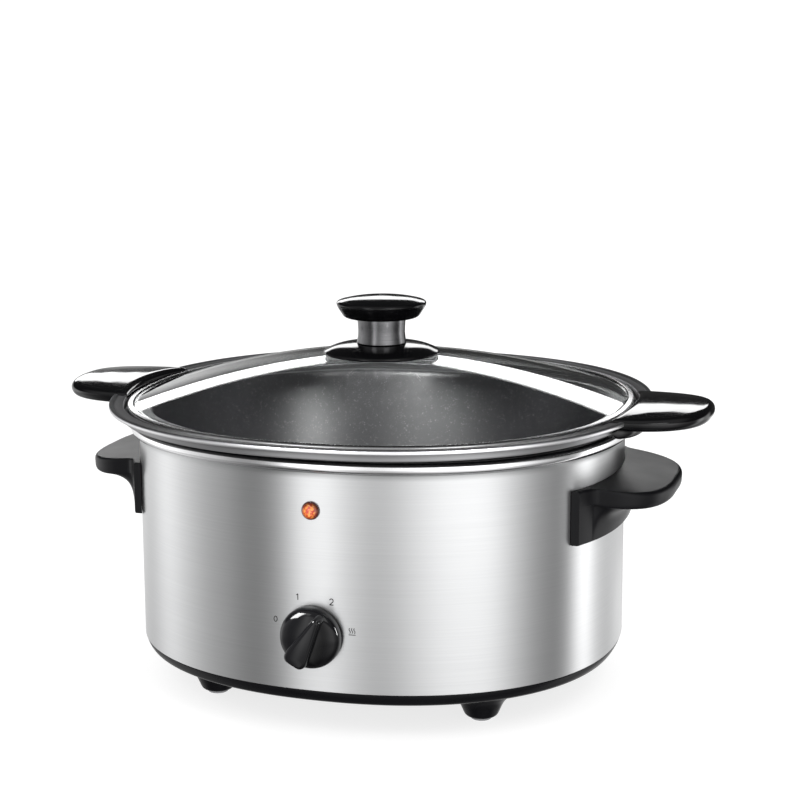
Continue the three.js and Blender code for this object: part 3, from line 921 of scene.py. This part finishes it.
def pot():
    """A searing pot whose wide flange carries the lid, with an ear at each end for the handles."""
    under = POT_FLOOR - POT_SHEET
    profile = eased([
        (0, under, 0),
        (108, under, 6),
        (121, 66.5, 8),
        (126.2, 76, 8),
        (136.4, 155, 4),
        (137.8, NECK_UNDER, 2),
        (POT_NECK, NECK_UNDER, 1.0),
        (POT_NECK, FLANGE_UNDERSIDE, 0.3),
        (FLANGE, FLANGE_UNDERSIDE, 1.1),
        (FLANGE, FLANGE_TOP, 1.1),
        (FLANGE - 2.6, FLANGE_TOP, 0.9),
        (FLANGE - 3.2, FLANGE_TOP - 0.9, 0.4),
        (FLANGE - 8.2, FLANGE_TOP - 0.7, 0.6),
        (FLANGE - 8.9, LEDGE, 0.6),
        (POT_MOUTH + 0.4, LEDGE, 1.6),
        (POT_MOUTH - 1.6, LEDGE - 3, 3),
        (124.2, 80, 8),
        (119, 69, 8),
        (106, POT_FLOOR, 8),
        (0, POT_FLOOR, 0),
    ])
    ears = []
    ear_root, ear_half_width = 152.0, 12
    low, high = FLANGE_UNDERSIDE + 0.2, FLANGE_TOP - 0.4
    for side in (-1, 1):
        near, far = sorted((side * ear_root, side * pot_high.x))
        outline = [(near, -ear_half_width), (far, -ear_half_width)]
        outline += [(far, ear_half_width), (near, ear_half_width)]
        ears.append(capped([[(x, y, z) for x, y in outline] for z in (low, high)]))
    shape = joined(turned(profile, pot_oval, segments=288), *ears)
    piece("searing_bowl", shape, NON_STICK, "searing_pot", ["pot"], sharp=45)


def lens_body(inner, outer, bottom, top, round_edge, crown=0.0, arch=0.0):
    """A pillow over the plan between two lines that meet at both ends, with a full rounded edge.

    crown lifts its middle, and arch lowers its ends along y.
    """
    across = 28
    crown_width = 16  # from the edge to where the crown is at its full height
    edge_points = [Vector(p) for p in inner] + [Vector(p) for p in reversed(outer)]
    segments = list(zip(edge_points, edge_points[1:] + edge_points[:1]))

    def distance(point):
        """From the point to the nearest point of the plan's edge."""
        nearest = math.inf
        for a, b in segments:
            span = b - a
            square = span.length_squared
            t = 0 if square < 1e-9 else max(0.0, min(1.0, (point - a).dot(span) / square))
            nearest = min(nearest, (a + span * t - point).length)
        return nearest

    middle, half = (bottom + top) / 2, (top - bottom) / 2
    half_width = max(point.y for point in edge_points)
    upper, lower = [], []
    for near, far in zip(inner, outer):
        near, far = Vector(near), Vector(far)
        high_row, low_row = [], []
        for k in range(across + 1):
            s = 0.5 - 0.5 * math.cos(math.pi * k / across)
            point = near.lerp(far, s)
            gap = distance(point)
            rounding = math.sqrt(max(0.0, 1 - (1 - min(1.0, gap / round_edge)) ** 2))
            fall = arch * (point.y / half_width) ** 2
            dome = crown * min(1.0, gap / crown_width) ** 0.8
            lift = (half - crown - fall) * rounding + dome
            high_row.append((point.x, point.y, middle + lift))
            low_row.append((point.x, point.y, middle - half * rounding))
        upper.append(high_row)
        lower.append(low_row)
    top_side = skin(upper, closed_around=False)
    bottom_side = skin(lower, closed_around=False)
    return joined(top_side, bottom_side)


def handle_outline(inner_long, tip, half_width, centre=147.0, exponent=2.5, steps=64):
    """Inner and outer line of a D that starts and ends where it meets the oval inner_long."""
    outer = []
    for i in range(steps + 1):
        angle = -math.pi / 2 + math.pi * i / steps
        across = math.copysign(abs(math.cos(angle)) ** (2 / exponent), math.cos(angle))
        along = math.copysign(abs(math.sin(angle)) ** (2 / exponent), math.sin(angle))
        outer.append((centre + (tip - centre) * across, half_width * along))
    inner = []
    for i in range(steps + 1):
        y = -half_width + 2 * half_width * i / steps
        inner.append((oval_x(inner_long, y, LID_NARROWING), y))
    # both lines end in the same two points
    outer[0] = inner[0]
    outer[-1] = inner[-1]
    return inner, outer


def pot_handle(name, side):
    """A D-shaped grip over the end of the flange, with a lug that hooks under it."""
    inner, outer = handle_outline(LID_RIM + 1.8, grip_high.x, grip_high.y)
    slab = lens_body(inner, outer, GRIP_UNDER, grip_high.z, round_edge=4.2, crown=0.5, arch=2.4)
    lug_tip, lug_overlap = 162.5, 2
    inner, outer = handle_outline(
        POT_NECK + 0.6, lug_tip, grip_high.y, centre=140.0, exponent=3.2
    )
    lug = lens_body(inner, outer, grip_low.z, GRIP_UNDER + lug_overlap, round_edge=2.2)
    shape = at_end(joined(slab, lug), side)
    piece(
        f"grip_{name}", shape, HANDLE_GLOSS, "searing_pot", [name], sharp=60
    )


# ---- Lid ----


def glass_height(long):
    return GLASS_TOP - GLASS_RISE * (long / GLASS_EDGE) ** GLASS_CURVE


def lid_glass():
    """A dome of even thickness with a hole for the knob's screw and an edge with small bevels."""
    hole, bevel = 4.5, 0.4
    steps = 40
    outside = [hole + (GLASS_EDGE - bevel - hole) * i / steps for i in range(steps + 1)]
    profile = [(long, glass_height(long)) for long in reversed(outside)]
    profile += [(long, glass_height(long) - GLASS_THICKNESS) for long in outside]
    edge = glass_height(GLASS_EDGE)
    profile += [(GLASS_EDGE, edge - GLASS_THICKNESS + 0.5), (GLASS_EDGE, edge - 0.5)]
    made = turned_piece(
        "glass_dome", profile, GLASS, "lid", "lid_glass", lid_oval, 256
    )
    made.visible_shadow = False


def lid_rim():
    """A steel channel folded round the edge of the glass."""
    bottom, sheet = rim_low.z, 0.7
    profile = eased([
        (LID_RIM - 4.9, bottom, 0.2),
        (LID_RIM, bottom, 0.6),
        (LID_RIM, rim_high.z - 0.6, 1.2),
        (LID_RIM - 3.3, rim_high.z, 0.2),
        (LID_RIM - 3.3, rim_high.z - 0.6, 0.2),
        (GLASS_EDGE + 0.3, rim_high.z - 1.1, 0.2),
        (GLASS_EDGE + 0.3, bottom + sheet, 0.2),
        (LID_RIM - 4.9, bottom + sheet, 0.2),
    ], closed=True, steps=5)
    turned_piece("lid_ring", profile, RIM_STEEL, "lid", "lid_rim", lid_oval, 288)


KNOB_BORE = 3.2
WASHER_BORE = 4.5


def lid_knob_washer():
    low, high = corners("lid_knob_washer")
    radius = high.x
    profile = eased([
        (WASHER_BORE, low.z, 0),
        (radius, low.z, 0.2),
        (radius, high.z, 0.25),
        (WASHER_BORE, high.z, 0),
    ], closed=True)
    turned_piece("knob_washer", profile, RIM_STEEL, "lid", "lid_knob_washer")


def lid_knob_base():
    """A low black dish, hollow underneath where it sits over the washer."""
    _, washer_top = corners("lid_knob_washer")
    low, high = corners("lid_knob_base")
    radius, hollow = high.x, 26.4
    under = washer_top.z + 0.3
    profile = eased([
        (KNOB_BORE, under, 0),
        (hollow, under, 0),
        (hollow, low.z + 0.6, 0),
        (radius - 1.2, low.z, 0.8),
        (radius, low.z + 0.9, 0.7),
        (radius - 0.5, low.z + 1.9, 0.7),
        (27, high.z - 1.2, 6),
        (15.4, high.z, 3),
        (KNOB_BORE, high.z, 0),
    ], closed=True)
    turned_piece(
        "knob_base", profile, GLOSS_BLACK, "lid", "lid_knob_base", segments=160
    )


def lid_knob_neck():
    """A steel pillar, slightly waisted."""
    low, high = corners("lid_knob_neck")
    radius = high.x
    profile = eased([
        (KNOB_BORE, low.z, 0),
        (radius, low.z, 0.5),
        (radius - 0.9, low.z + 6, 4),
        (radius - 0.3, high.z, 0.3),
        (KNOB_BORE, high.z, 0),
    ], closed=True)
    turned_piece(
        "knob_neck", profile, NECK_STEEL, "lid", "lid_knob_neck", segments=128
    )


def lid_knob_cap():
    """A black cap that widens upwards to a thin edge, under a low dome."""
    low, high = corners("lid_knob_cap")
    bottom, radius = low.z, high.x
    bore_top = bottom + 7
    profile = eased([
        (0, bore_top, 0),
        (KNOB_BORE, bore_top, 0),
        (KNOB_BORE, bottom, 0),
        (21, bottom, 0.8),
        (22.6, bottom + 0.9, 0.8),
        (radius - 0.6, bottom + 6.4, 2.2),
        (radius, bottom + 8.6, 0.9),
        (radius - 1.0, bottom + 9.6, 0.9),
        (17, high.z - 1.0, 7),
        (0, high.z, 0),
    ])
    turned_piece(
        "knob_cap", profile, GLOSS_BLACK, "lid", "lid_knob_cap", segments=160
    )


def dress_plain_parts():
    """Small and hidden CAD nodes keep their own shape and get a material."""
    screws = [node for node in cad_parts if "handle_screw" in node]
    looks = (
        (FIXING_STEEL, ["tie_rod", "tie_nut", "thermostat", "switch_shaft", "lid_knob_screw"]),
        (FIXING_STEEL, screws),
        (SWITCH_PLASTIC, ["thermal_fuse", "rotary_switch", "terminal_block", "lamp_holder"]),
        (MICA, ["heating_band"]),
        (TRAY_BLACK, ["gland_nut"]),
    )
    for look, nodes in looks:
        for node in nodes:
            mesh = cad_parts[node].data
            mesh.materials.clear()
            mesh.materials.append(look)


# ---- Studio ----

# Brightness all round the studio at table height, by angle in degrees from the front (-Y) towards
# the right (+X): pale cards with darker gaps between them.
PANELS = [
    (-180, 1.18), (-150, 0.80), (-131, 0.66), (-113, 0.78), (-98, 1.14), (-85, 0.94),
    (-69, 0.60), (-51, 0.38), (-41, 0.22), (-31, 0.33), (-26, 0.68), (-21, 1.46),
    (-17, 1.62), (-12, 1.08), (-5, 0.80), (2, 0.66), (14, 0.92), (28, 1.28),
    (42, 1.42), (56, 1.38), (67, 0.98), (80, 0.58), (95, 0.33), (103, 0.27),
    (111, 0.55), (119, 1.62), (126, 1.90), (135, 1.00), (144, 0.74), (155, 0.70),
    (168, 1.05), (180, 1.18),
]
BRIGHTEST = 2.0
SOFT_LEVEL = 1.12  # what the camera and matt surfaces see all round
OVERHEAD_LEVEL = 0.4
REAR_LEVEL = 0.02
TABLE_CARDS, HIGH_CARDS = 0.77, 1.38  # the cards' brightness at their foot and higher up
CUT_OFF_LEVEL = 0.03  # above the cards that stand behind the cooker


def studio_world():
    """White to the camera and for soft light; pale cards and dark gaps for what shines."""
    world = bpy.data.worlds.new("studio")
    bpy.context.scene.world = world
    world.use_nodes = True
    tree = world.node_tree
    tree.nodes.clear()

    def maths(operation, first, second):
        made = tree.nodes.new("ShaderNodeMath")
        made.operation = operation
        for socket, value in zip(made.inputs, (first, second)):
            if isinstance(value, (int, float)):
                socket.default_value = value
            else:
                tree.links.new(value, socket)
        return made.outputs[0]

    def times(first, second):
        return maths("MULTIPLY", first, second)

    def plus(first, second):
        return maths("ADD", first, second)

    def smooth(value, start, end):
        made = tree.nodes.new("ShaderNodeMapRange")
        made.interpolation_type = "SMOOTHSTEP"
        made.inputs["From Min"].default_value = start
        made.inputs["From Max"].default_value = end
        tree.links.new(value, made.inputs["Value"])
        return made.outputs["Result"]

    def between(amount, low, high):
        """low where amount is 0, high where it is 1."""
        return plus(low, times(amount, maths("SUBTRACT", high, low)))

    where = tree.nodes.new("ShaderNodeTexCoord")
    split = tree.nodes.new("ShaderNodeSeparateXYZ")
    tree.links.new(where.outputs["Generated"], split.inputs[0])
    x, y, z = split.outputs
    turn = maths("ARCTAN2", x, times(y, -1.0))
    share = plus(maths("DIVIDE", turn, 2 * math.pi), 0.5)
    ramp = tree.nodes.new("ShaderNodeValToRGB")
    ramp.color_ramp.interpolation = "CARDINAL"
    stops = ramp.color_ramp.elements
    while len(stops) < len(PANELS):
        stops.new(0.5)
    for stop, (degrees, brightness) in zip(stops, PANELS):
        stop.position = degrees / 360 + 0.5
        value = brightness / BRIGHTEST
        stop.color = (value, value, value, 1)
    tree.links.new(share, ramp.inputs["Fac"])
    panels = times(ramp.outputs["Color"], BRIGHTEST)

    # a large overhead card that leans to the front, over a dark rear
    lean = plus(times(z, 0.8), times(y, -0.6))
    overhead = times(smooth(lean, 0.25, 0.7), OVERHEAD_LEVEL)
    overhead = plus(overhead, REAR_LEVEL)
    rear_cut = maths("MINIMUM", y, 0.0)
    rise = smooth(plus(z, times(rear_cut, 0.5)), 0.0, 0.2)
    # the cards fade towards the table, and behind the cooker they stand on it and stop short
    fade = between(smooth(z, -0.40, -0.20), TABLE_CARDS, HIGH_CARDS)
    cards = times(panels, fade)
    behind = smooth(y, 0.85, 0.95)
    over_cards = smooth(z, -0.28, -0.20)
    cut_off = times(behind, over_cards)
    cards = times(cards, between(cut_off, 1.0, CUT_OFF_LEVEL))
    shine = between(rise, cards, overhead)
    # the table is dimmer straight below
    table = plus(times(smooth(z, -0.9, -0.5), 0.8), 0.2)
    shine = times(shine, table)

    path = tree.nodes.new("ShaderNodeLightPath")
    shiny = maths("MAXIMUM", path.outputs["Is Glossy Ray"], path.outputs["Is Transmission Ray"])
    shiny = times(shiny, maths("SUBTRACT", 1.0, path.outputs["Is Camera Ray"]))
    level = between(shiny, SOFT_LEVEL, shine)
    background = tree.nodes.new("ShaderNodeBackground")
    tree.links.new(level, background.inputs["Color"])
    output = tree.nodes.new("ShaderNodeOutputWorld")
    tree.links.new(background.outputs[0], output.inputs["Surface"])


def toward(azimuth, elevation):
    """Unit vector at that angle from the front towards the right, and above the horizon."""
    a, e = math.radians(azimuth), math.radians(elevation)
    return Vector((math.sin(a) * math.cos(e), -math.cos(a) * math.cos(e), math.sin(e)))


LAMPS_AIM = Vector((0, 0, 0.17))


def softbox(name, azimuth, elevation, distance, width, height, brightness, roll=0.0, lights=()):
    """A rectangular lamp aimed at the cooker, that lights everything or only the named pieces.

    brightness is what its face shows.
    """
    data = bpy.data.lights.new(name, "AREA")
    data.shape = "RECTANGLE"
    data.size, data.size_y = width, height
    data.energy = brightness * math.pi * width * height
    lamp = bpy.data.objects.new(name, data)
    back = toward(azimuth, elevation)
    lamp.rotation_mode = "QUATERNION"
    turn = back.to_track_quat("Z", "Y").to_matrix().to_4x4()
    tilt = Matrix.Rotation(math.radians(roll), 4, "Z")
    lamp.matrix_world = Matrix.Translation(LAMPS_AIM + back * distance) @ turn @ tilt
    lamp.visible_camera = False
    bpy.context.scene.collection.objects.link(lamp)
    if lights:
        lit = bpy.data.collections.new(name + "_lights")
        for piece_name in lights:
            lit.objects.link(bpy.data.objects[piece_name])
        lamp.light_linking.receiver_collection = lit


# the pieces that mirror the long softbox behind the cooker
SHINY_TOPS = ["glass_dome", "lid_ring", "knob_base", "knob_neck", "knob_cap"]
SHINY_TOPS += ["grip_pot_handle_left", "grip_pot_handle_right"]
SHINY_TOPS += ["lift_side_handle_left", "lift_side_handle_right"]


FLOOR_HALF = 6.0
FLOOR_GREY = (0.35, 0.35, 0.35)
FLOOR_GLOW = 0.78
FLOOR_DROP = 0.0002


def studio_floor():
    """A wide floor that glows nearly white, so that only a light shadow shows on it."""
    mesh = bpy.data.meshes.new("studio_floor")
    half = FLOOR_HALF
    corner_points = [(-half, -half, 0), (half, -half, 0), (half, half, 0), (-half, half, 0)]
    mesh.from_pydata(corner_points, [], [(0, 1, 2, 3)])
    floor = bpy.data.objects.new("studio_floor", mesh)
    bpy.context.scene.collection.objects.link(floor)
    white = Look("studio_floor_white", FLOOR_GREY, 0.9, Specular_IOR_Level=0.0)
    white.set("Emission Color", (1.0, 1.0, 1.0, 1.0))
    white.set("Emission Strength", FLOOR_GLOW)
    mesh.materials.append(white.material)
    floor.location.z = -FLOOR_DROP
    floor.visible_glossy = False


CAMERA_PLACE = Vector((0.3412, -1.088, 0.393))
CAMERA_AZIMUTH = 17.78  # degrees, as for toward()
CAMERA_DIP = 11.27
CAMERA_ROLL = -0.48
CAMERA_LENS = 87.5  # millimetres, on a sensor of the width below
CAMERA_SENSOR = 36
CAMERA_SHIFT = 0.0378


def camera():
    data = bpy.data.cameras.new("camera")
    data.sensor_width = CAMERA_SENSOR
    data.lens = CAMERA_LENS
    data.shift_x = CAMERA_SHIFT
    data.dof.use_dof = False
    data.clip_start, data.clip_end = 0.01, 50
    made = bpy.data.objects.new("camera", data)
    back = toward(CAMERA_AZIMUTH, CAMERA_DIP)
    turn = back.to_track_quat("Z", "Y").to_matrix().to_4x4()
    roll = Matrix.Rotation(math.radians(CAMERA_ROLL), 4, "Z")
    made.matrix_world = Matrix.Translation(CAMERA_PLACE) @ turn @ roll
    bpy.context.scene.collection.objects.link(made)
    bpy.context.scene.camera = made


camera()
studio_world()
studio_floor()
softbox("front_left_softbox", -25, 40, 1.6, 0.5, 0.5, 2.5)
softbox("front_right_softbox", 45, 45, 1.6, 0.6, 0.6, 2.5)

steel_wall()
base_tray()
foot_pads()
side_handle("side_handle_left", -1)
side_handle("side_handle_right", 1)
heating_well()
indicator_lens()
cord_gland()
control_knob()
dial_marks()
pot()
pot_handle("pot_handle_left", -1)
pot_handle("pot_handle_right", 1)
lid_glass()
lid_rim()
lid_knob_washer()
lid_knob_base()
lid_knob_neck()
lid_knob_cap()
dress_plain_parts()
softbox("rear_softbox", -162, 15, 1.7, 1.5, 0.22, 3.8, roll=-8, lights=SHINY_TOPS)
softbox("pot_strip_right", 43, 20, 1.6, 0.12, 0.3, 600.0, lights=["searing_bowl"])
softbox("pot_strip_left", -15, 20, 1.6, 0.12, 0.3, 400.0, lights=["searing_bowl"])
softbox("dial_glint_left", -50, 30, 1.6, 0.8, 0.8, 45.0, lights=["dial_knob"])
softbox("dial_glint_right", 100, 5, 1.6, 0.2, 0.6, 60.0, lights=["dial_knob"])

scene = bpy.context.scene
scene.view_settings.view_transform = "Standard"
scene.view_settings.look = "None"

bpy.context.view_layer.update()
